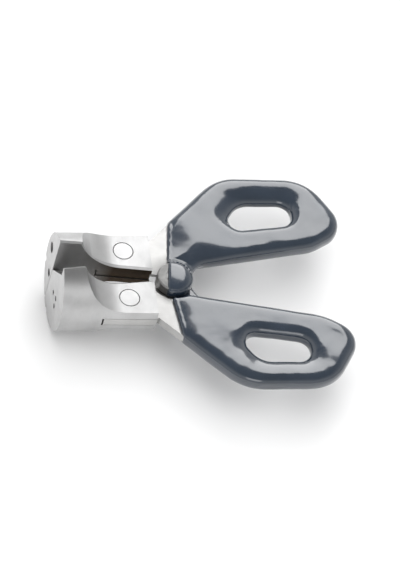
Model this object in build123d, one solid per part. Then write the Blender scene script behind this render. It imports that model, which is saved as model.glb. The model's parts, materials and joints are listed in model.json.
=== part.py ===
from build123d import *
import math
import os

# Scissor-handled cracker with a round split head.
# The upper half lies on the +Y side of the tool and the lower half on the -Y side.
# Everything is drawn about the pivot axis (Z) in the closed pose, the head towards -X,
# and is moved at the end so that the origin is the middle of the underside of its box.
# The lower lever and its coating are the upper ones turned over about the X axis.

# Head
head_radius = 26.0            # round head, across both jaws
nose_x = -63.5                # flat front face
heel_x = -11.5                # flat rear end of the jaws
mouth_half_gap = 2.15         # half the mouth, measured at the pivot
mouth_half_angle = 5.5        # each mouth face leans out by this, degrees
flat_half_height = 7.2        # milled flats above and below the lever plane
flat_start_x = -28.5          # the flats begin here
cutter_radius = 24.0          # round run-out of the flats towards the nose
mouth_chamfer = 1.1           # broken edges along the mouth
nose_web_depth = 3.0          # web of the lower jaw that closes the mouth at the nose
nose_web_rise = 19.5          # where the web's slanted top leaves the lower jaw
nose_web_seat = 0.4           # room between the web and the upper jaw

# Levers
plate_thickness = 5.0
tongue_x = -41.0              # front end of the slot in each jaw
slot_clearance = 0.2          # above and below the tongue
tongue_front_room = 0.9       # between the tongue's end and the end of the slot
tongue_inset = 0.6            # the tongue stops short of the mouth face
arm_edge_offset = 34.9        # the outer edge of the bare arm is the line y = x + this
arm_edge_start = 1.0          # this line starts behind the heel by this much
arm_rear_x = 6.0              # the arm runs back to here under the coating
arm_lap = 0.5                 # the arm and the tongue share this length

# Pivot
hub_radius = 9.0
hub_rise = 3.5                # each hub stands this much above its lever
hub_gap = 0.5                 # space between the two hubs
hub_rounding = 0.8            # rounded rim of each hub
relief_room = 2.2             # each lever clears the other one's coated hub by this much
washer_thickness = 0.45
washer_inset = 0.8            # the washer is smaller than the hub by this much all round
pivot_radius = 3.0
pivot_head_flare = 1.4        # the countersunk heads are wider than the shank by this much
pivot_clearance = 0.05
pivot_recess = 0.15           # the rivet's ends lie this much below the hub faces

# Jaw rivets
rivet_x = -26.0
rivet_y = 15.2
rivet_radius = 5.6
rivet_edge = 0.45             # broken edge at both ends

# Coated finger loops: corners and corner radii of the outline and of the finger hole
coat_side = 1.2               # coating on the edges of the steel
coat_face = 2.5               # coating on the faces of the steel
coat_rounding = 3.6
cap_rounding = 2.8            # rounded rim of the coating on the hub
crotch_radius = 12.0          # blend between the hub and the loop's inner edge, on the hub's side only
dip_x = -3.4                  # where the coating begins, on the X axis
dip_lean = 7.0                # lean of the dip line, degrees
dip_cover = 2.0               # the steel loop is joined to the arm this far under the coating
loop_corners = [(-20, 16), (31, 67), (80, 66.2), (98.6, 34.4), (78.5, 22), (-20, 4.8)]
loop_radii = {1: 26.0, 2: 23.0, 3: 13.0, 4: 25.0}
hole_corners = [(27.6, 31.2), (69.3, 36.8), (69.3, 51.4), (41.2, 51.4)]
hole_radii = {0: 6.5, 1: 7.0, 2: 7.2, 3: 12.0}

# Small holes in the flat nose, each (y, z, radius), and round notches in its rim (angle, radius)
nose_hole_depth = 5.0
upper_nose_holes = [(18.8, 4.9, 3.0), (12.2, -8.6, 2.2)]
lower_nose_holes = [(-3.2, -5.1, 1.4), (-9.6, -1.8, 1.5), (-10.2, -7.6, 1.6)]
upper_rim_notches = [(-25.0, 1.7)]
lower_rim_notches = [(-91.0, 1.7)]

# Sizes that follow from those above
half_plate = plate_thickness / 2
half_gap = hub_gap / 2
hub_height = half_plate + hub_rise
coat_half_height = half_plate + coat_face
coated_hub_radius = hub_radius + coat_side
relief_radius = coated_hub_radius + relief_room
washer_radius = hub_radius - washer_inset
pivot_head_radius = pivot_radius + pivot_head_flare
lean = math.tan(math.radians(mouth_half_angle))

# Cutting shapes
spare = 1.0                   # cutting shapes run past the material by this much
far = 400.0                   # longer than the whole tool


def mouth_y(x):
    """Distance of a mouth face from the middle plane at a given x."""
    return mouth_half_gap - x * lean


def outline_face(corners):
    return make_face(Polyline(*corners, close=True))


def slab(outline, z_low, z_high):
    """A flat outline turned into a plate between two heights."""
    return extrude(Plane.XY.offset(z_low) * outline, z_high - z_low)


def disc(radius, z_low, z_high, x=0.0, y=0.0):
    return Pos(x, y, (z_low + z_high) / 2) * Cylinder(radius, z_high - z_low)


def lengthwise_bar(radius, length, x=0.0, y=0.0, z=0.0):
    """Round bar along the X axis, given by its middle."""
    return Pos(x, y, z) * Rot(0, 90, 0) * Cylinder(radius, length)


def turned_over(shape):
    """The same piece on the other side of the tool."""
    return shape.rotate(Axis.X, 180)


def rims(shape):
    """Edges of the lowest and the highest face."""
    levels = shape.edges().group_by(Axis.Z)
    return levels[0] + levels[-1]


def countersink(clearance=0.0):
    """Cone of a pivot rivet head, with its wide face at z = 0."""
    depth = pivot_head_radius - pivot_radius
    return Pos(0, 0, -depth / 2) * Cone(pivot_radius + clearance, pivot_head_radius + clearance, depth)


def rounded_outline(corners, radii):
    """A closed outline whose listed corners are rounded."""
    face = outline_face(corners)
    for index, radius in radii.items():
        corner = Vector(*corners[index], 0)
        nearest = min(face.vertices(), key=lambda vertex: (Vector(vertex) - corner).length)
        face = fillet(nearest, radius)
    return face


def loop_outline(inset):
    """Plan of one finger loop, drawn in by an inset from the outside of the coating."""
    outside = rounded_outline(loop_corners, loop_radii)
    opening = rounded_outline(hole_corners, hole_radii)
    if inset > 0:
        outside = offset(outside, -inset)
        opening = offset(opening, inset)
    return outside - opening


def crotch_outline(inset):
    """Plan of the round blend between the hub and the loop's inner edge."""
    edge_front = Vector(*loop_corners[-1], 0)
    edge_rear = Vector(*loop_corners[-2], 0)
    along = (edge_rear - edge_front).normalized()
    across = Vector(-along.Y, along.X, 0)
    edge_rise = edge_front.dot(across)
    centre_rise = edge_rise - crotch_radius
    centre_run = math.sqrt((coated_hub_radius + crotch_radius) ** 2 - centre_rise ** 2)
    centre = along * centre_run + across * centre_rise
    lap = coat_rounding + spare
    corners = [Vector(0, 0, 0), centre, centre + across * (crotch_radius + lap), across * (edge_rise + lap)]
    return outline_face(corners) - Pos(centre) * Circle(crotch_radius + inset)


def behind_dip_line(margin=0.0):
    """Large block that covers the coated side of the dip line."""
    return Pos(dip_x + margin, 0, 0) * Rot(0, 0, -dip_lean) * Pos(far / 2, 0, 0) * Box(far, far, far)


def lever():
    """Punched steel lever: tongue, arm, hub and finger loop."""
    tongue_front = tongue_x + tongue_front_room
    tongue = [(tongue_front, mouth_y(tongue_x) + tongue_inset),
              (tongue_front, 2 * head_radius),
              (heel_x, 2 * head_radius),
              (heel_x, mouth_y(heel_x) + tongue_inset)]
    flush_tongue = slab(outline_face(tongue), -half_plate, half_plate) & lengthwise_bar(head_radius, far)
    arm_front = heel_x - arm_lap
    edge_front = heel_x + arm_edge_start
    arm = [(arm_front, mouth_y(heel_x) + tongue_inset),
           (arm_front, head_radius - arm_lap),
           (edge_front, edge_front + arm_edge_offset),
           (arm_rear_x, arm_rear_x + arm_edge_offset),
           (arm_rear_x, 0.0),
           (0.0, mouth_half_gap)]
    loop = slab(loop_outline(coat_side), -half_plate, half_plate) & behind_dip_line(dip_cover)
    blank = flush_tongue + slab(outline_face(arm), -half_plate, half_plate) + loop
    blank += slab(crotch_outline(coat_side), half_gap, half_plate)
    blank -= disc(relief_radius, -half_plate - spare, half_gap)
    hub = disc(hub_radius, half_gap, hub_height)
    blank += fillet(hub.edges().group_by(Axis.Z)[-1], hub_rounding)
    blank -= disc(pivot_radius + pivot_clearance, -hub_height, hub_height + spare)
    blank -= Pos(0, 0, hub_height - pivot_recess) * countersink(pivot_clearance)
    blank -= disc(pivot_head_radius + pivot_clearance, hub_height - pivot_recess, hub_height + spare)
    blank -= disc(rivet_radius, -half_plate, half_plate, rivet_x, rivet_y)
    return blank


def grip(steel):
    """Thick dipped coating over the finger loop and the rear of the hub."""
    body = slab(loop_outline(0), -coat_half_height, coat_half_height)
    body = fillet(rims(body), coat_rounding)
    crotch = slab(crotch_outline(0), half_gap, coat_half_height)
    crotch_rim = crotch.edges().group_by(Axis.Z)[-1].filter_by(GeomType.CIRCLE)
    body += fillet(crotch_rim, coat_rounding)
    body -= disc(relief_radius, -coat_half_height - spare, half_gap)
    cap = disc(coated_hub_radius, half_gap, hub_height + coat_side)
    body += fillet(cap.edges().group_by(Axis.Z)[-1], cap_rounding)
    coating = body & behind_dip_line()
    return coating - steel - disc(pivot_head_radius + pivot_clearance, 0, hub_height)


def jaw_blank():
    """Round head with its flats and their round run-outs, before it is split."""
    head = lengthwise_bar(head_radius, heel_x - nose_x, (heel_x + nose_x) / 2)
    reach = 2 * head_radius
    for side in (1, -1):
        block = Box(reach, 2 * reach, reach)
        cutter = Rot(90, 0, 0) * Cylinder(cutter_radius, 2 * reach)
        head -= Pos(flat_start_x + reach / 2, 0, side * (flat_half_height + reach / 2)) * block
        head -= Pos(flat_start_x, 0, side * (flat_half_height + cutter_radius)) * cutter
    return head


def mouth_side():
    """Block on the +Y side of the upper mouth face."""
    front = nose_x - spare
    rear = heel_x + spare
    reach = 2 * head_radius
    corners = [(front, mouth_y(front)), (rear, mouth_y(rear)), (rear, reach), (front, reach)]
    return slab(outline_face(corners), -reach, reach)


def nose_bore(y, z, radius):
    return lengthwise_bar(radius, 2 * nose_hole_depth, nose_x, y, z)


def jaw(holes, notches, web=None):
    """One jaw on the +Y side; the web, if any, is joined before the slot is cut."""
    half = jaw_blank() & mouth_side()
    mouth_face = half.faces().sort_by(Axis.Y)[0]
    long_edges = mouth_face.edges().filter_by(lambda edge: abs(edge.center().Z) > flat_half_height / 2)
    half = chamfer(long_edges, mouth_chamfer)
    if web is not None:
        half += web
    half -= Pos(tongue_x + far / 2, 0, 0) * Box(far, far, 2 * (half_plate + slot_clearance))
    half -= disc(rivet_radius, -head_radius, head_radius, rivet_x, rivet_y)
    for y, z, radius in holes:
        half -= nose_bore(y, z, radius)
    for angle, radius in notches:
        turn = math.radians(angle)
        half -= nose_bore(head_radius * math.cos(turn), head_radius * math.sin(turn), radius)
    return half


def nose_web():
    """Web on the nose that reaches across the mouth, drawn for the jaw before it is turned over."""
    near_y = mouth_y(nose_x) + mouth_chamfer + spare
    far_y = nose_web_seat - mouth_y(nose_x)
    corners = [(near_y, -nose_web_rise), (far_y, 0.0), (far_y, head_radius), (near_y, head_radius)]
    plate = extrude(Plane.YZ.offset(nose_x) * outline_face(corners), nose_web_depth)
    return plate & lengthwise_bar(head_radius, far)


def jaw_rivet():
    """Plain round rivet, flush with both flats, with broken edges."""
    shank = disc(rivet_radius, -flat_half_height, flat_half_height, rivet_x, rivet_y)
    return chamfer(rims(shank), rivet_edge)


def pivot_rivet():
    """Countersunk at both ends, with its faces just below the hub faces."""
    top = hub_height - pivot_recess
    head = Pos(0, 0, top) * countersink()
    return disc(pivot_radius, -top, top) + head + turned_over(head)


def hub_washer():
    """Thin washer that lies on the lower hub."""
    ring = disc(washer_radius, -half_gap, washer_thickness - half_gap)
    return ring - disc(pivot_radius + pivot_clearance, -hub_gap, hub_gap)


# The lower jaw is drawn on the +Y side and then turned over, so its holes are drawn mirrored.
drawn_lower_holes = [(-y, -z, radius) for y, z, radius in lower_nose_holes]
drawn_lower_notches = [(-angle, radius) for angle, radius in lower_rim_notches]

steel_lever = lever()
coating = grip(steel_lever)
pieces = {
    "lever_upper": steel_lever,
    "lever_lower": turned_over(steel_lever),
    "grip_upper": coating,
    "grip_lower": turned_over(coating),
    "jaw_upper": jaw(upper_nose_holes, upper_rim_notches),
    "jaw_lower": turned_over(jaw(drawn_lower_holes, drawn_lower_notches, nose_web())),
    "jaw_rivet_upper": jaw_rivet(),
    "jaw_rivet_lower": turned_over(jaw_rivet()),
    "pivot_rivet": pivot_rivet(),
    "hub_washer": hub_washer(),
}

whole_box = Compound(children=[Part() + piece for piece in pieces.values()]).bounding_box()
middle = whole_box.center()
to_origin = Pos(-middle.X, -middle.Y, -whole_box.min.Z)

os.makedirs("parts", exist_ok=True)
for name, piece in pieces.items():
    export_step(to_origin * piece, f"parts/{name}.step")
print("pivot axis at", -middle.X, -middle.Y, "lever plane at", -whole_box.min.Z)
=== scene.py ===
import json
import math

import bmesh
import bpy
from bpy.props import FloatProperty, FloatVectorProperty, IntProperty, PointerProperty
from mathutils import Matrix, Vector, noise
from mathutils.kdtree import KDTree


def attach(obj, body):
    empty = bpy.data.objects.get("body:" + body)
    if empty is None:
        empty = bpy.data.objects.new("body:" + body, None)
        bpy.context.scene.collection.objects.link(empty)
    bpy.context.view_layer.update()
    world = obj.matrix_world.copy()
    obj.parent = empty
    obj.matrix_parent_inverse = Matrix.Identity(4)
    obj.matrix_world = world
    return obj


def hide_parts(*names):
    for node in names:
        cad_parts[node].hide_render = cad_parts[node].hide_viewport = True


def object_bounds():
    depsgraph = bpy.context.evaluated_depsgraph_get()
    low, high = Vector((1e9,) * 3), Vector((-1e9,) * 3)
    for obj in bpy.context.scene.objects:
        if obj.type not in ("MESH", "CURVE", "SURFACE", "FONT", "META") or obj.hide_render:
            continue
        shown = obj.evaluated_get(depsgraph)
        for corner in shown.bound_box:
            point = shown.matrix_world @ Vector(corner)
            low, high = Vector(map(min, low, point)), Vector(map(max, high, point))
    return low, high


bl_info = {
    "name": "Lobster Cracker",
    "version": (1, 0, 0),
    "blender": (4, 5, 0),
    "location": "View3D > Sidebar > Cracker",
    "description": "Finishes a scissor-handled lobster cracker around its packed frame",
    "category": "Object",
}

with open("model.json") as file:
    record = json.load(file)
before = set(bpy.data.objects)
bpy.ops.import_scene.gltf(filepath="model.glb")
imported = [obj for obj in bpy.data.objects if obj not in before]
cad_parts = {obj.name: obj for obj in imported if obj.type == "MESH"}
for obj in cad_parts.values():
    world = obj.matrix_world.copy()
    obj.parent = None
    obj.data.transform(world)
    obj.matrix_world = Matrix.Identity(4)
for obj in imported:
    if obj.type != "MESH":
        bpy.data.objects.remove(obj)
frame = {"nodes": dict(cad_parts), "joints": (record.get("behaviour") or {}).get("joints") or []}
CAD_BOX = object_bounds()
PIVOT = Vector(frame["joints"][0]["pos_m"])
MM = 0.001
SIDES = {"upper": 1.0, "lower": -1.0}      # where each half lies along Y, and its hub along Z
BODIES = {"upper": "upper_half", "lower": "lower_half"}

# Places on the levers, measured from the pivot
HUB_RADIUS = 9 * MM
CAP_RADIUS = 10.4 * MM                     # the coating keeps its thickness over the hub, up to here
CAP_BLEND = 2.5 * MM                       # and thins at its edge as usual after this much more
CAP_HEIGHT = 5.9 * MM                      # only the hub's cap stands further from the middle plane
HUB_SHADE_RADIUS = 17 * MM                    # painted shade darkens the levers' level faces round the hub, up to here
CROTCH_NEAR = 18 * MM                      # the crotch's wide round edge is whole up to here
CROTCH_FADE = 24 * MM                      # and gone after this much more
CALM_NEAR = 22 * MM                        # the coating's waves are slight up to here
CALM_FADE = 38 * MM                        # and whole after this much more
HOLE_START = 20 * MM                       # the finger hole lies behind this

# The line where each coating begins
DIP_START = PIVOT + Vector((-3.4 * MM, 0.0, 0.0))
DIP_LEAN = math.radians(7.0)
STEEL_START = 2.5 * MM                     # behind this depth the steel is joined to its coating
LIP_DEPTH = 1.5 * MM                       # up to this depth the outline is the coating's front lip

# The mouth between the jaws
MOUTH_HALF_WIDTH = 11 * MM
MOUTH_END = PIVOT.x - 11 * MM
# Painted shade inside the mouth begins here and deepens inwards until it is whole at the next place
MOUTH_SHADE_START = PIVOT.x - 50 * MM
MOUTH_SHADE_WHOLE = PIVOT.x - 32 * MM

WELD = 2e-7                                # corners nearer than this are one corner
FLAT = math.radians(0.6)                   # faces that meet more evenly than this are one face
SHARP = math.radians(28)                   # edges sharper than this are broken

# The coating's slow waves: where each noise is read, and how slight the waves are by the hub
WAVE_SEED = (3.1, 7.7)
RIPPLE_SEED = (9.4, 1.3)
RIPPLE_LENGTH = 0.42                       # as a share of the waves' own length
CALM_SHARE = 0.3

# The camera
YAW = math.radians(12.4)
TILT = math.radians(36.0)
ROLL = math.radians(0.6)
AIM_RIGHT = 14.6506 * MM                   # the camera aims this far right of the pivot
AIM_UP = -1.1067 * MM                      # and this far up
SENSOR_WIDTH = 36.0

# The studio is a white room that dims towards its ceiling
WALL_TOP, CEILING = 0.50, 0.88
WALL_LIGHT, CEILING_LIGHT = 0.76, 0.22

# Name, direction from the pivot, distance, width, height, brightness, whether the tool mirrors it
SOFTBOXES = (
    ("back_softbox", (0.21, 0.77, 0.62), 1.1, 0.54, 0.75, 3.4, True),
    ("front_softbox", (-0.1, -0.9, 0.6), 1.3, 0.6, 0.5, 1.7, True),
    ("floor_wash", (0.0, 0.0, 1.0), 1.6, 2.2, 2.2, 1.6, False),
)


# Sizes and colours a user would change

class CrackerSizes(bpy.types.PropertyGroup):
    edge_break: FloatProperty(
        name="Edge break", description="Width of the broken edges of the steel pieces",
        default=0.00028, min=0.0, unit="LENGTH")
    edge_steps: IntProperty(
        name="Edge steps", description="Faces across each broken edge", default=3, min=1, max=6)
    coat_voxel: FloatProperty(
        name="Coating mesh size", description="Size of the coating's mesh",
        default=0.00062, min=0.0002, unit="LENGTH")
    coat_flow: IntProperty(
        name="Coating flow", description="Rounds of smoothing, as the wet coating levels out",
        default=14, min=0)
    coat_wave: FloatProperty(
        name="Coating waviness", description="Depth of the coating's slow waves",
        default=0.00040, min=0.0, unit="LENGTH")
    coat_wave_length: FloatProperty(
        name="Wave length", description="Distance between the coating's waves",
        default=0.013, min=0.001, unit="LENGTH")
    coat_swell: FloatProperty(
        name="Coating swell", description="Thickness given back to the coating after it has levelled",
        default=0.00040, min=0.0, unit="LENGTH")
    hole_dish: FloatProperty(
        name="Hole dish, far side",
        description="How far the coating thins on the side of the hole away from the palm",
        default=0.44, min=0.0, max=0.6, subtype="FACTOR")
    palm_dish: FloatProperty(
        name="Hole dish, palm side", description="How far the coating thins on the palm side of the hole",
        default=0.20, min=0.0, max=0.6, subtype="FACTOR")
    dish_far: FloatProperty(
        name="Dish width, far side",
        description="Width of the dished band on the side of the hole away from the palm",
        default=0.0120, min=0.001, unit="LENGTH")
    dish_near: FloatProperty(
        name="Dish width, near side", description="Width of the dished band on the palm side of the hole",
        default=0.0060, min=0.001, unit="LENGTH")
    cap_dome: FloatProperty(
        name="Cap dome", description="Rise of the coating over the middle of the hub",
        default=0.0007, min=0.0, max=0.0009, unit="LENGTH")
    rim_fall: FloatProperty(
        name="Rim fall", description="How far the coating thins towards its outer edge",
        default=0.13, min=0.0, max=0.6, subtype="FACTOR")
    crotch_fall: FloatProperty(
        name="Crotch fall", description="How far the coating thins towards its edge beside the hub",
        default=0.32, min=0.0, max=0.45, subtype="FACTOR")
    rim_width: FloatProperty(
        name="Rim width", description="Width of the rounded band along the outer edge",
        default=0.0068, min=0.001, unit="LENGTH")
    crotch_width: FloatProperty(
        name="Crotch width", description="Width of the rounded band beside the hub",
        default=0.0190, min=0.001, unit="LENGTH")
    lens: FloatProperty(
        name="Lens", description="Focal length of the camera in millimetres", default=1200.0, min=20.0)
    view_width: FloatProperty(
        name="View width", description="Width of what the camera sees at the tool",
        default=0.2108, min=0.01, unit="LENGTH")


class CrackerColours(bpy.types.PropertyGroup):
    coat: FloatVectorProperty(
        name="Coating", description="Colour of the dipped coating", subtype="COLOR", size=3,
        default=(0.019, 0.030, 0.047), min=0.0, max=1.0)
    steel: FloatVectorProperty(
        name="Jaw steel", description="Colour of the plated jaws", subtype="COLOR", size=3,
        default=(0.46, 0.46, 0.46), min=0.0, max=1.0)
    plate: FloatVectorProperty(
        name="Lever steel", description="Colour of the plated levers", subtype="COLOR", size=3,
        default=(0.47, 0.467, 0.46), min=0.0, max=1.0)
    # Colour of the painted shade inside the mouth, where the jaws shade each other
    painted_shade: FloatVectorProperty(
        name="Mouth stain", description="Colour of the stain inside the mouth", subtype="COLOR", size=3,
        default=(0.085, 0.062, 0.042), min=0.0, max=1.0)
    bronze: FloatVectorProperty(
        name="Washer bronze", description="Colour of the hub washer", subtype="COLOR", size=3,
        default=(0.62, 0.42, 0.20), min=0.0, max=1.0)
    floor: FloatVectorProperty(
        name="Floor", description="Colour of the floor", subtype="COLOR", size=3,
        default=(0.93, 0.93, 0.93), min=0.0, max=1.0)


# Node trees

class Tree:
    """Adds nodes to a tree and joins them with short calls."""

    def __init__(self, tree):
        """Keeps the tree that the calls work on."""
        self.tree = tree

    def add(self, kind, **settings):
        """New node of a kind, with its own settings."""
        node = self.tree.nodes.new(kind)
        for key, value in settings.items():
            setattr(node, key, value)
        return node

    def link(self, source, target):
        """Joins an output to an input."""
        self.tree.links.new(source, target)

    def noise(self, vector, scale, detail=3.0, roughness=0.5):
        """Noise over a vector, from 0 to 1."""
        node = self.add("ShaderNodeTexNoise")
        node.inputs["Scale"].default_value = scale
        node.inputs["Detail"].default_value = detail
        node.inputs["Roughness"].default_value = roughness
        self.link(vector, node.inputs["Vector"])
        return node.outputs["Fac"]

    def stretched(self, vector, scale):
        """A vector scaled by its own factor along each axis."""
        node = self.add("ShaderNodeMapping")
        node.inputs["Scale"].default_value = scale
        self.link(vector, node.inputs["Vector"])
        return node.outputs["Vector"]

    def ranged(self, value, low, high, new_low, new_high):
        """A value between low and high, moved to lie between two new limits and held there."""
        node = self.add("ShaderNodeMapRange", clamp=True)
        limits = {"From Min": low, "From Max": high, "To Min": new_low, "To Max": new_high}
        for socket, limit in limits.items():
            node.inputs[socket].default_value = limit
        self.link(value, node.inputs["Value"])
        return node.outputs["Result"]

    def maths(self, operation, first, second):
        """One sum of two values, each a number or an output."""
        node = self.add("ShaderNodeMath", operation=operation)
        for socket, item in zip(node.inputs, (first, second)):
            if isinstance(item, float):
                socket.default_value = item
            else:
                self.link(item, socket)
        return node.outputs["Value"]

    def mixed(self, factor, first, second):
        """Two colours mixed by a factor, each a colour or an output."""
        node = self.add("ShaderNodeMix", data_type="RGBA")
        self.link(factor, node.inputs["Factor"])
        for socket, item in zip((node.inputs[6], node.inputs[7]), (first, second)):
            if isinstance(item, tuple):
                socket.default_value = item
            else:
                self.link(item, socket)
        return node.outputs[2]

    def bump(self, height, strength, distance, normal=None):
        """Normal tilted by a height, on top of another one where it is given."""
        node = self.add("ShaderNodeBump")
        node.inputs["Strength"].default_value = strength
        node.inputs["Distance"].default_value = distance
        self.link(height, node.inputs["Height"])
        if normal is not None:
            self.link(normal, node.inputs["Normal"])
        return node.outputs["Normal"]


def shade(colour, factor):
    """A colour made darker or lighter, with its alpha."""
    return tuple(min(1.0, channel * factor) for channel in colour) + (1.0,)


def new_group(name, inputs, outputs):
    """Empty shader node group with named sockets: the group, its tree, its input and its output."""
    group = bpy.data.node_groups.new(name, "ShaderNodeTree")
    for socket, kind in inputs:
        group.interface.new_socket(socket, in_out="INPUT", socket_type=kind)
    for socket, kind in outputs:
        group.interface.new_socket(socket, in_out="OUTPUT", socket_type=kind)
    tree = Tree(group)
    return group, tree, tree.add("NodeGroupInput"), tree.add("NodeGroupOutput")


def surface_wear_group():
    """Slow mottling, fine grain and a worn-edge mask, shared by every finish."""
    group, tree, source, result = new_group(
        "surface_wear",
        [("Vector", "NodeSocketVector"), ("Mottle Scale", "NodeSocketFloat"),
         ("Grain Scale", "NodeSocketFloat"), ("Edge", "NodeSocketFloat")],
        [("Mottle", "NodeSocketFloat"), ("Grain", "NodeSocketFloat"), ("Worn Edge", "NodeSocketFloat")])
    for output, scale, detail in (("Mottle", "Mottle Scale", 4.0), ("Grain", "Grain Scale", 2.0)):
        texture = tree.add("ShaderNodeTexNoise")
        texture.inputs["Detail"].default_value = detail
        tree.link(source.outputs["Vector"], texture.inputs["Vector"])
        tree.link(source.outputs[scale], texture.inputs["Scale"])
        tree.link(texture.outputs["Fac"], result.inputs[output])
        if output == "Mottle":
            patchy = tree.ranged(texture.outputs["Fac"], 0.35, 0.65, 0.35, 1.0)
            tree.link(tree.maths("MULTIPLY", patchy, source.outputs["Edge"]), result.inputs["Worn Edge"])
    return group


def scratch_group():
    """Sparse fine scratches from two crossed, stretched noises."""
    group, tree, source, result = new_group(
        "fine_scratches",
        [("Vector", "NodeSocketVector")],
        [("Scratches", "NodeSocketFloat")])
    lines = []
    for turn in (0.5, 2.1):
        mapping = tree.add("ShaderNodeMapping")
        mapping.inputs["Rotation"].default_value = (0.3, 0.2, turn)
        mapping.inputs["Scale"].default_value = (1.0, 22.0, 22.0)
        tree.link(source.outputs["Vector"], mapping.inputs["Vector"])
        field = tree.noise(mapping.outputs["Vector"], 60.0, 1.0)
        lines.append(tree.ranged(field, 0.70, 0.74, 0.0, 1.0))
    tree.link(tree.maths("MAXIMUM", lines[0], lines[1]), result.inputs["Scratches"])
    return group


def new_finish(name):
    """New material: itself, its tree, its Principled BSDF and its Object coordinates."""
    material = bpy.data.materials.new(name)
    material.use_nodes = True
    tree = Tree(material.node_tree)
    shader = next(node for node in material.node_tree.nodes if node.type == "BSDF_PRINCIPLED")
    place = tree.add("ShaderNodeTexCoord").outputs["Object"]
    return material, tree, shader, place


def wear_node(tree, place, mottle_scale, grain_scale):
    """The shared wear group placed in a material, reading the piece's worn edges."""
    node = tree.add("ShaderNodeGroup", node_tree=bpy.data.node_groups["surface_wear"])
    node.inputs["Mottle Scale"].default_value = mottle_scale
    node.inputs["Grain Scale"].default_value = grain_scale
    tree.link(place, node.inputs["Vector"])
    edge = tree.add("ShaderNodeAttribute", attribute_name="edge_wear")
    tree.link(edge.outputs["Fac"], node.inputs["Edge"])
    return node


def around_pivot(tree, parts):
    """Level distance of the shaded point from the pivot's axis."""
    level = tree.add("ShaderNodeCombineXYZ")
    tree.link(parts.outputs["X"], level.inputs["X"])
    tree.link(parts.outputs["Y"], level.inputs["Y"])
    distance = tree.add("ShaderNodeVectorMath", operation="DISTANCE")
    tree.link(level.outputs["Vector"], distance.inputs[0])
    distance.inputs[1].default_value = (PIVOT.x, PIVOT.y, 0.0)
    return distance.outputs["Value"]


def steel_finish(name, colour, painted_shade, line_scale, roughness):
    """Satin plated steel: tool marks, scratches, brighter edges, painted shade deepening into the mouth and
    painted shade on the level faces round the hub.
    """
    material, tree, shader, place = new_finish(name)
    shader.inputs["Metallic"].default_value = 1.0
    wear = wear_node(tree, place, 90.0, 1500.0)
    marks = tree.noise(tree.stretched(place, line_scale), 240.0, 2.0, 0.6)
    scratch = tree.add("ShaderNodeGroup", node_tree=bpy.data.node_groups["fine_scratches"])
    tree.link(place, scratch.inputs["Vector"])
    mottle = tree.ranged(wear.outputs["Mottle"], 0.3, 0.7, 0.0, 1.0)
    base = tree.mixed(mottle, shade(colour, 0.96), shade(colour, 1.03))
    edged = tree.mixed(wear.outputs["Worn Edge"], base, shade(colour, 1.2))
    mouth = tree.add("ShaderNodeAttribute", attribute_name="mouth_face").outputs["Fac"]
    parts = tree.add("ShaderNodeSeparateXYZ")
    tree.link(place, parts.inputs["Vector"])
    # Painted shade: faces across the mouth darken towards the mouth's shade colour, more of it further in
    inward = tree.ranged(parts.outputs["X"], MOUTH_SHADE_START, MOUTH_SHADE_WHOLE, 0.0, 1.0)
    inside = tree.mixed(mouth, edged, tree.mixed(inward, edged, shade(painted_shade, 1.0)))
    # Painted shade: level faces round the hub are darkened towards a dark copy of the colour, fading out by
    # the hub's shade radius
    level = tree.add("ShaderNodeAttribute", attribute_name="level_face").outputs["Fac"]
    ring = tree.ranged(around_pivot(tree, parts), HUB_RADIUS, HUB_SHADE_RADIUS, 0.62, 0.0)
    rubbing_and_hub_shade = tree.maths("MULTIPLY", level, ring)
    tree.link(tree.mixed(rubbing_and_hub_shade, inside, shade(colour, 0.28)), shader.inputs["Base Color"])
    grainy = tree.ranged(marks, 0.3, 0.7, roughness - 0.05, roughness + 0.06)
    softened = tree.maths("ADD", grainy, tree.ranged(wear.outputs["Mottle"], 0.3, 0.7, -0.03, 0.04))
    polished = tree.maths("SUBTRACT", softened, tree.maths("MULTIPLY", wear.outputs["Worn Edge"], 0.08))
    tree.link(polished, shader.inputs["Roughness"])
    first = tree.bump(marks, 0.07, 0.00004)
    second = tree.bump(wear.outputs["Grain"], 0.07, 0.00003, first)
    third = tree.bump(tree.maths("SUBTRACT", 1.0, scratch.outputs["Scratches"]), 0.12, 0.00003, second)
    tree.link(third, shader.inputs["Normal"])
    return material


def coating_finish(name, colour):
    """Glossy dipped vinyl: deep slate colour, orange peel, faint dust and rubbed patches."""
    material, tree, shader, place = new_finish(name)
    wear = wear_node(tree, place, 45.0, 900.0)
    mottle = tree.ranged(wear.outputs["Mottle"], 0.3, 0.7, 0.0, 1.0)
    base = tree.mixed(mottle, shade(colour, 0.86), shade(colour, 1.14))
    dust = tree.ranged(tree.noise(place, 2600.0, 1.0), 0.72, 0.80, 0.0, 0.25)
    tree.link(tree.mixed(dust, base, shade(colour, 2.6)), shader.inputs["Base Color"])
    rubbing_and_hub_shade = tree.ranged(wear.outputs["Mottle"], 0.25, 0.75, 0.10, 0.20)
    grainy = tree.ranged(wear.outputs["Grain"], 0.3, 0.7, -0.015, 0.02)
    tree.link(tree.maths("ADD", rubbing_and_hub_shade, grainy), shader.inputs["Roughness"])
    shader.inputs["Specular IOR Level"].default_value = 0.85
    shader.inputs["Coat Weight"].default_value = 0.8
    shader.inputs["Coat Roughness"].default_value = 0.06
    peel = tree.bump(tree.noise(place, 420.0, 2.0), 0.10, 0.00012)
    slow = tree.bump(tree.noise(place, 110.0, 1.0), 0.22, 0.00035, peel)
    tree.link(slow, shader.inputs["Normal"])
    return material


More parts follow.
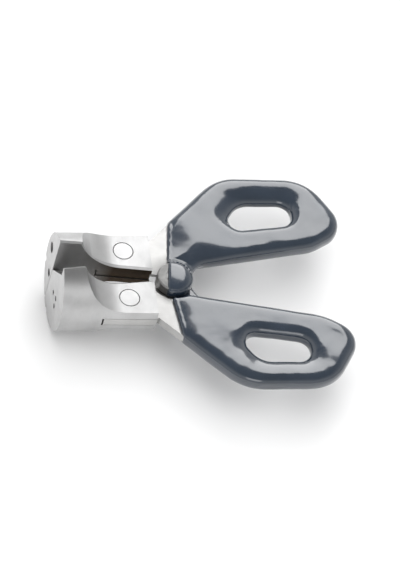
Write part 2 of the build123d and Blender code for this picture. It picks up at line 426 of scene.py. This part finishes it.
def bronze_finish(name, colour):
    """Plain washer bronze with uneven colour and fine grain."""
    material, tree, shader, place = new_finish(name)
    shader.inputs["Metallic"].default_value = 1.0
    wear = wear_node(tree, place, 300.0, 2500.0)
    base = tree.mixed(wear.outputs["Mottle"], shade(colour, 0.75), shade(colour, 1.15))
    tree.link(base, shader.inputs["Base Color"])
    tree.link(tree.ranged(wear.outputs["Grain"], 0.3, 0.7, 0.28, 0.42), shader.inputs["Roughness"])
    tree.link(tree.bump(wear.outputs["Grain"], 0.2, 0.00003), shader.inputs["Normal"])
    return material


def floor_finish(name, colour):
    """Pale matt floor, hardly mottled."""
    material, tree, shader, place = new_finish(name)
    tint = tree.mixed(tree.noise(place, 3.0), shade(colour, 0.99), shade(colour, 1.0))
    tree.link(tint, shader.inputs["Base Color"])
    shader.inputs["Roughness"].default_value = 0.9
    shader.inputs["Specular IOR Level"].default_value = 0.1
    return material


# Meshes

def merged_copy(*nodes):
    """Bmesh of one or more frame nodes, with each node's corners joined."""
    bm = bmesh.new()
    for node in nodes:
        bm.from_mesh(frame["nodes"][node].data)
    bmesh.ops.remove_doubles(bm, verts=bm.verts, dist=WELD)
    return bm


def mark_faces(bm, outward):
    """Marks the faces that look across the mouth at the other half, and those that lie level."""
    mouth = bm.faces.layers.float.new("mouth_face")
    level = bm.faces.layers.float.new("level_face")
    for face in bm.faces:
        facing = -face.normal.y * outward
        centre = face.calc_center_median()
        inside = abs(centre.y - PIVOT.y) < MOUTH_HALF_WIDTH and centre.x < MOUTH_END
        # Faces across the mouth are the ones that take the painted shade of the mouth
        face[mouth] = 1.0 if facing > 0.9 and inside else 0.0
        # Level faces are the ones that take the painted shade round the hub
        face[level] = 1.0 if abs(face.normal.z) > 0.9 else 0.0


def break_edges(bm, width, steps):
    """Joins flat triangles, rounds every sharp edge and marks the rounds as worn."""
    bmesh.ops.dissolve_limit(
        bm, angle_limit=FLAT, verts=bm.verts, edges=bm.edges, delimit=set(), use_dissolve_boundaries=False)
    sharp = [edge for edge in bm.edges if edge.is_manifold and edge.calc_face_angle(0.0) > SHARP]
    if not sharp:
        raise RuntimeError("this steel piece has no sharp edges to break")
    rounds = bmesh.ops.bevel(
        bm, geom=sharp, offset=width, offset_type="OFFSET", segments=steps, profile=0.5, affect="EDGES",
        clamp_overlap=True, material=-1)
    layer = bm.verts.layers.float.new("edge_wear")
    for face in rounds["faces"]:
        for vert in face.verts:
            vert[layer] = 1.0


def finished_piece(bm, name, material, side, replaced):
    """Object from a bmesh, at the origin, riding on its half of the tool."""
    mesh = bpy.data.meshes.new(name)
    bm.to_mesh(mesh)
    bm.free()
    mesh.materials.append(bpy.data.materials[material])
    mesh.shade_smooth()
    piece = bpy.data.objects.new(name, mesh)
    bpy.context.scene.collection.objects.link(piece)
    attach(piece, BODIES[side])
    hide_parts(*replaced)
    return piece


def steel_piece(node, name, material, side, sizes):
    """Steel piece with broken edges and even shading over its large faces."""
    bm = merged_copy(node)
    break_edges(bm, sizes.edge_break, sizes.edge_steps)
    mark_faces(bm, SIDES[side])
    piece = finished_piece(bm, name, material, side, [node])
    weighted = piece.modifiers.new("even_shading", "WEIGHTED_NORMAL")
    weighted.keep_sharp = True
    weighted.weight = 50
    return piece


def connected_sets(bm):
    """Corners of the mesh in lists, one for each set that hangs together by its edges."""
    unseen = set(bm.verts)
    sets = []
    while unseen:
        linked = [unseen.pop()]
        for vert in linked:
            for edge in vert.link_edges:
                other = edge.other_vert(vert)
                if other in unseen:
                    unseen.discard(other)
                    linked.append(other)
        sets.append(linked)
    return sets


def keep_largest_shell(bm):
    """Deletes every separate shell of the mesh but the largest."""
    shells = sorted(connected_sets(bm), key=len)
    loose = [vert for shell in shells[:-1] for vert in shell]
    bmesh.ops.delete(bm, geom=loose, context="VERTS")


def point_tree(points):
    """Search tree over a list of points, which may not be empty."""
    if not points:
        raise RuntimeError("the coating's section lacks its outer outline or its finger hole")
    tree = KDTree(len(points))
    for index, point in enumerate(points):
        tree.insert(point, index)
    tree.balance()
    return tree


def dip_direction(side):
    """Level direction square to the line where the coating begins, towards the loop."""
    lean = DIP_LEAN * SIDES[side]
    return Vector((math.cos(lean), -math.sin(lean), 0.0))


def behind_dip(point, side):
    """Level distance of a point behind the line where the coating begins."""
    return (point - DIP_START).dot(dip_direction(side))


def plan_outlines(bm, side):
    """Search trees over the outer outline and the finger hole's, cut from the coating at mid height."""
    cut = bm.copy()
    bmesh.ops.bisect_plane(
        cut, geom=cut.verts[:] + cut.edges[:] + cut.faces[:], dist=WELD / 2, plane_co=PIVOT,
        plane_no=(0.0, 0.0, 1.0), clear_inner=True, clear_outer=True)
    hole = []
    outside = []
    for outline in connected_sets(cut):
        places = [vert.co.copy() for vert in outline]
        if min(place.x for place in places) < PIVOT.x + HOLE_START:
            outside += [place for place in places if behind_dip(place, side) > LIP_DEPTH]
        else:
            hole += places
    cut.free()
    return point_tree(outside), point_tree(hole)


def even_faces(bm, size):
    """The mesh remade in even faces of one size, as a new bmesh."""
    rough = bpy.data.meshes.new("coating_rough")
    bm.to_mesh(rough)
    bm.free()
    holder = bpy.data.objects.new("coating_rough", rough)
    bpy.context.scene.collection.objects.link(holder)
    remesh = holder.modifiers.new("even_faces", "REMESH")
    remesh.mode = "VOXEL"
    remesh.voxel_size = size
    remesh.adaptivity = 0.0
    bpy.context.view_layer.update()
    even = bpy.data.meshes.new_from_object(holder.evaluated_get(bpy.context.evaluated_depsgraph_get()))
    bpy.data.objects.remove(holder)
    bpy.data.meshes.remove(rough)
    result = bmesh.new()
    result.from_mesh(even)
    bpy.data.meshes.remove(even)
    return result


def solid_coating(side, sizes):
    """Coating and the steel inside it as one mesh, remade in even faces."""
    bm = merged_copy("lever_" + side)
    cut = bmesh.ops.bisect_plane(
        bm, geom=bm.verts[:] + bm.edges[:] + bm.faces[:], dist=WELD / 2,
        plane_co=DIP_START + Vector((STEEL_START, 0.0, 0.0)), plane_no=dip_direction(side), clear_inner=True)
    rim = [item for item in cut["geom_cut"] if isinstance(item, bmesh.types.BMEdge)]
    bmesh.ops.edgenet_fill(bm, edges=rim)
    bm.from_mesh(frame["nodes"]["grip_" + side].data)
    bmesh.ops.remove_doubles(bm, verts=bm.verts, dist=WELD)
    coating = even_faces(bm, sizes.coat_voxel)
    keep_largest_shell(coating)
    return coating


def ease(value):
    """Smooth step between 0 and 1."""
    held = min(1.0, max(0.0, value))
    return held * held * (3.0 - 2.0 * held)


def fall(distance, width):
    """1 at an edge, falling to 0 with no slope at a width from it."""
    return max(0.0, 1.0 - distance / width) ** 2


def between(low, high, share):
    """Value a share of the way from low to high."""
    return low + (high - low) * share


def far_from_palm(away, outward):
    """0 on the palm side of the finger hole to 1 on the far side, a little more of it towards the hub."""
    return ease(0.5 + 0.8 * away.y * outward - 0.25 * away.x)


def thinned_height(place, side, rim, hole, sizes):
    """New height of a point of the coating, thinned beside the hole and along the outer edge."""
    outward = SIDES[side]
    level = Vector((place.x, place.y, PIVOT.z))
    from_pivot = (level - PIVOT).length
    edge, _, to_hole = hole.find(level)
    away = (level - edge).normalized()
    far_side = far_from_palm(away, outward)
    dish_width = between(sizes.dish_near, sizes.dish_far, far_side)
    dish = between(sizes.palm_dish, sizes.hole_dish, far_side) * fall(to_hole, dish_width)
    _, _, to_rim = rim.find(level)
    hub_side = (place.z - PIVOT.z) * outward > 0.0
    beside_hub = (1.0 - ease((from_pivot - CROTCH_NEAR) / CROTCH_FADE)) * hub_side
    rim_width = between(sizes.rim_width, sizes.crotch_width, beside_hub)
    rim_fall = between(sizes.rim_fall, sizes.crotch_fall, beside_hub) * fall(to_rim, rim_width)
    off_hub = ease((from_pivot - CAP_RADIUS) / CAP_BLEND)
    height = (place.z - PIVOT.z) * (1.0 - dish) * (1.0 - rim_fall * off_hub)
    if height * outward > CAP_HEIGHT:
        height -= outward * sizes.cap_dome * min(1.0, from_pivot / HUB_RADIUS) ** 2
    return PIVOT.z + height


def wavy_swell(vert, side, sizes):
    """Move along the surface that gives the coating its thickness back, in slow waves."""
    depths = []
    for length, (first, last) in ((1.0, WAVE_SEED), (RIPPLE_LENGTH, RIPPLE_SEED)):
        place = vert.co / (sizes.coat_wave_length * length) + Vector((first, SIDES[side], last))
        depths.append(noise.noise(place))
    wave, ripple = depths
    calm = between(CALM_SHARE, 1.0, ease(((vert.co - PIVOT).length - CALM_NEAR) / CALM_FADE))
    return vert.normal * (sizes.coat_swell - sizes.coat_wave * calm * (0.5 + 0.5 * wave + 0.16 * ripple))


def flow_coating(bm, side, sizes):
    """Levels the coating, thins it towards its edges and gives it slow waves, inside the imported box."""
    for _ in range(sizes.coat_flow):
        bmesh.ops.smooth_vert(
            bm, verts=bm.verts, factor=0.5, use_axis_x=True, use_axis_y=True, use_axis_z=True)
    rim, hole = plan_outlines(bm, side)
    for vert in bm.verts:
        vert.co.z = thinned_height(vert.co, side, rim, hole, sizes)
    bm.normal_update()
    moves = [wavy_swell(vert, side, sizes) for vert in bm.verts]
    low, high = CAD_BOX
    for vert, move in zip(bm.verts, moves):
        moved = vert.co + move
        vert.co = [min(max(value, least), most) for value, least, most in zip(moved, low, high)]


# Operators

def sizes_of(context):
    """The sizes that the scene holds."""
    return context.scene.cracker_sizes


class CRACKER_OT_finishes(bpy.types.Operator):
    """Make the tool's materials"""
    bl_idname = "cracker.finishes"
    bl_label = "Finishes"

    def execute(self, context):
        colours = context.scene.cracker_colours
        surface_wear_group()
        scratch_group()
        steel_finish("turned_steel", colours.steel, colours.painted_shade, (12.0, 1.2, 1.2), 0.46)
        steel_finish("plate_steel", colours.plate, colours.painted_shade, (1.5, 8.0, 8.0), 0.47)
        steel_finish("ground_steel", colours.steel, colours.painted_shade, (1.5, 10.0, 1.5), 0.43)
        bronze_finish("washer_bronze", colours.bronze)
        coating_finish("dipped_vinyl", colours.coat)
        return {"FINISHED"}


class CRACKER_OT_jaws(bpy.types.Operator):
    """Finish the two halves of the round head"""
    bl_idname = "cracker.jaws"
    bl_label = "Jaws"

    def execute(self, context):
        sizes = sizes_of(context)
        for side in SIDES:
            steel_piece("jaw_" + side, side + "_jaw", "turned_steel", side, sizes)
        return {"FINISHED"}


class CRACKER_OT_levers(bpy.types.Operator):
    """Finish the two punched levers"""
    bl_idname = "cracker.levers"
    bl_label = "Levers"

    def execute(self, context):
        sizes = sizes_of(context)
        for side in SIDES:
            steel_piece("lever_" + side, side + "_lever", "plate_steel", side, sizes)
        return {"FINISHED"}


class CRACKER_OT_rivets(bpy.types.Operator):
    """Finish the jaw rivets, the pivot rivet and the hub washer"""
    bl_idname = "cracker.rivets"
    bl_label = "Rivets"

    def execute(self, context):
        sizes = sizes_of(context)
        for side in SIDES:
            steel_piece("jaw_rivet_" + side, side + "_jaw_rivet", "ground_steel", side, sizes)
        steel_piece("pivot_rivet", "hub_rivet", "ground_steel", "lower", sizes)
        steel_piece("hub_washer", "thrust_washer", "washer_bronze", "lower", sizes)
        return {"FINISHED"}


class CRACKER_OT_coatings(bpy.types.Operator):
    """Model the thick dipped coatings of the finger loops"""
    bl_idname = "cracker.coatings"
    bl_label = "Coatings"

    def execute(self, context):
        sizes = sizes_of(context)
        for side in SIDES:
            bm = solid_coating(side, sizes)
            flow_coating(bm, side, sizes)
            finished_piece(bm, side + "_coating", "dipped_vinyl", side, ["grip_" + side])
        return {"FINISHED"}


class CRACKER_OT_stage(bpy.types.Operator):
    """Set the floor, the studio light and the camera"""
    bl_idname = "cracker.stage"
    bl_label = "Stage"

    def execute(self, context):
        make_floor(context)
        make_light(context)
        make_camera(context)
        return {"FINISHED"}


# Stage

def view_axes():
    """Right, up and back directions of the camera."""
    right = Vector((math.cos(YAW), -math.sin(YAW) * math.sin(TILT), math.sin(YAW) * math.cos(TILT)))
    up = Vector((0.0, math.cos(TILT), math.sin(TILT)))
    rolled_right = right * math.cos(ROLL) + up * math.sin(ROLL)
    rolled_up = up * math.cos(ROLL) - right * math.sin(ROLL)
    return rolled_right, rolled_up, right.cross(up)


def make_camera(context):
    """Long-lens camera aimed at the middle of the tool."""
    sizes = sizes_of(context)
    camera = bpy.data.cameras.new("studio_camera")
    camera.sensor_fit = "HORIZONTAL"
    camera.sensor_width = SENSOR_WIDTH
    camera.lens = sizes.lens
    camera.clip_end = 50.0
    holder = bpy.data.objects.new("studio_camera", camera)
    context.scene.collection.objects.link(holder)
    right, up, back = view_axes()
    aim = PIVOT + right * AIM_RIGHT + up * AIM_UP
    distance = sizes.view_width * sizes.lens / SENSOR_WIDTH
    turn = Matrix((right, up, back)).transposed().to_4x4()
    holder.matrix_world = Matrix.Translation(aim + back * distance) @ turn
    context.scene.camera = holder


def make_floor(context):
    """Level floor under the tool."""
    bm = bmesh.new()
    bmesh.ops.create_grid(bm, x_segments=8, y_segments=8, size=3.0)
    mesh = bpy.data.meshes.new("floor")
    bm.to_mesh(mesh)
    bm.free()
    mesh.materials.append(floor_finish("pale_floor", context.scene.cracker_colours.floor))
    floor = bpy.data.objects.new("floor", mesh)
    context.scene.collection.objects.link(floor)


def softbox(context, name, toward, distance, width, height, radiance, mirrored):
    """Rectangular light that faces the tool, given by the brightness of its face."""
    light = bpy.data.lights.new(name, "AREA")
    light.shape = "RECTANGLE"
    light.size = width
    light.size_y = height
    light.energy = radiance * math.pi * width * height
    holder = bpy.data.objects.new(name, light)
    context.scene.collection.objects.link(holder)
    direction = Vector(toward).normalized()
    turn = direction.to_track_quat("Z", "Y").to_matrix().to_4x4()
    holder.matrix_world = Matrix.Translation(PIVOT + direction * distance) @ turn
    holder.visible_glossy = mirrored


def make_light(context):
    """White room and softboxes."""
    world = bpy.data.worlds.new("studio")
    world.use_nodes = True
    tree = Tree(world.node_tree)
    background = next(node for node in world.node_tree.nodes if node.type == "BACKGROUND")
    background.inputs["Color"].default_value = (1.0, 1.0, 1.0, 1.0)
    parts = tree.add("ShaderNodeSeparateXYZ")
    tree.link(tree.add("ShaderNodeTexCoord").outputs["Generated"], parts.inputs["Vector"])
    strength = tree.ranged(parts.outputs["Z"], WALL_TOP, CEILING, WALL_LIGHT, CEILING_LIGHT)
    tree.link(strength, background.inputs["Strength"])
    context.scene.world = world
    context.scene.view_settings.view_transform = "Standard"
    for settings in SOFTBOXES:
        softbox(context, *settings)


# Panel and registration

STEPS = ("finishes", "jaws", "levers", "rivets", "coatings", "stage")


class CRACKER_PT_sidebar(bpy.types.Panel):
    """Sizes, colours and steps of the cracker"""
    bl_label = "Lobster Cracker"
    bl_idname = "CRACKER_PT_sidebar"
    bl_space_type = "VIEW_3D"
    bl_region_type = "UI"
    bl_category = "Cracker"

    def draw(self, context):
        """Lists the steps, then every size and colour."""
        for step in STEPS:
            self.layout.operator("cracker." + step)
        for group in (context.scene.cracker_sizes, context.scene.cracker_colours):
            for name in group.__annotations__:
                self.layout.prop(group, name)


CLASSES = (
    CrackerSizes, CrackerColours, CRACKER_OT_finishes, CRACKER_OT_jaws, CRACKER_OT_levers, CRACKER_OT_rivets,
    CRACKER_OT_coatings, CRACKER_OT_stage, CRACKER_PT_sidebar)


def register():
    """Adds the classes and the scene's sizes and colours."""
    for cls in CLASSES:
        bpy.utils.register_class(cls)
    bpy.types.Scene.cracker_sizes = PointerProperty(type=CrackerSizes)
    bpy.types.Scene.cracker_colours = PointerProperty(type=CrackerColours)


def unregister():
    """Takes them away again."""
    del bpy.types.Scene.cracker_colours
    del bpy.types.Scene.cracker_sizes
    for cls in reversed(CLASSES):
        bpy.utils.unregister_class(cls)


def main():
    """Runs every step."""
    register()
    for step in STEPS:
        getattr(bpy.ops.cracker, step)()


if __name__ == "__main__":
    main()
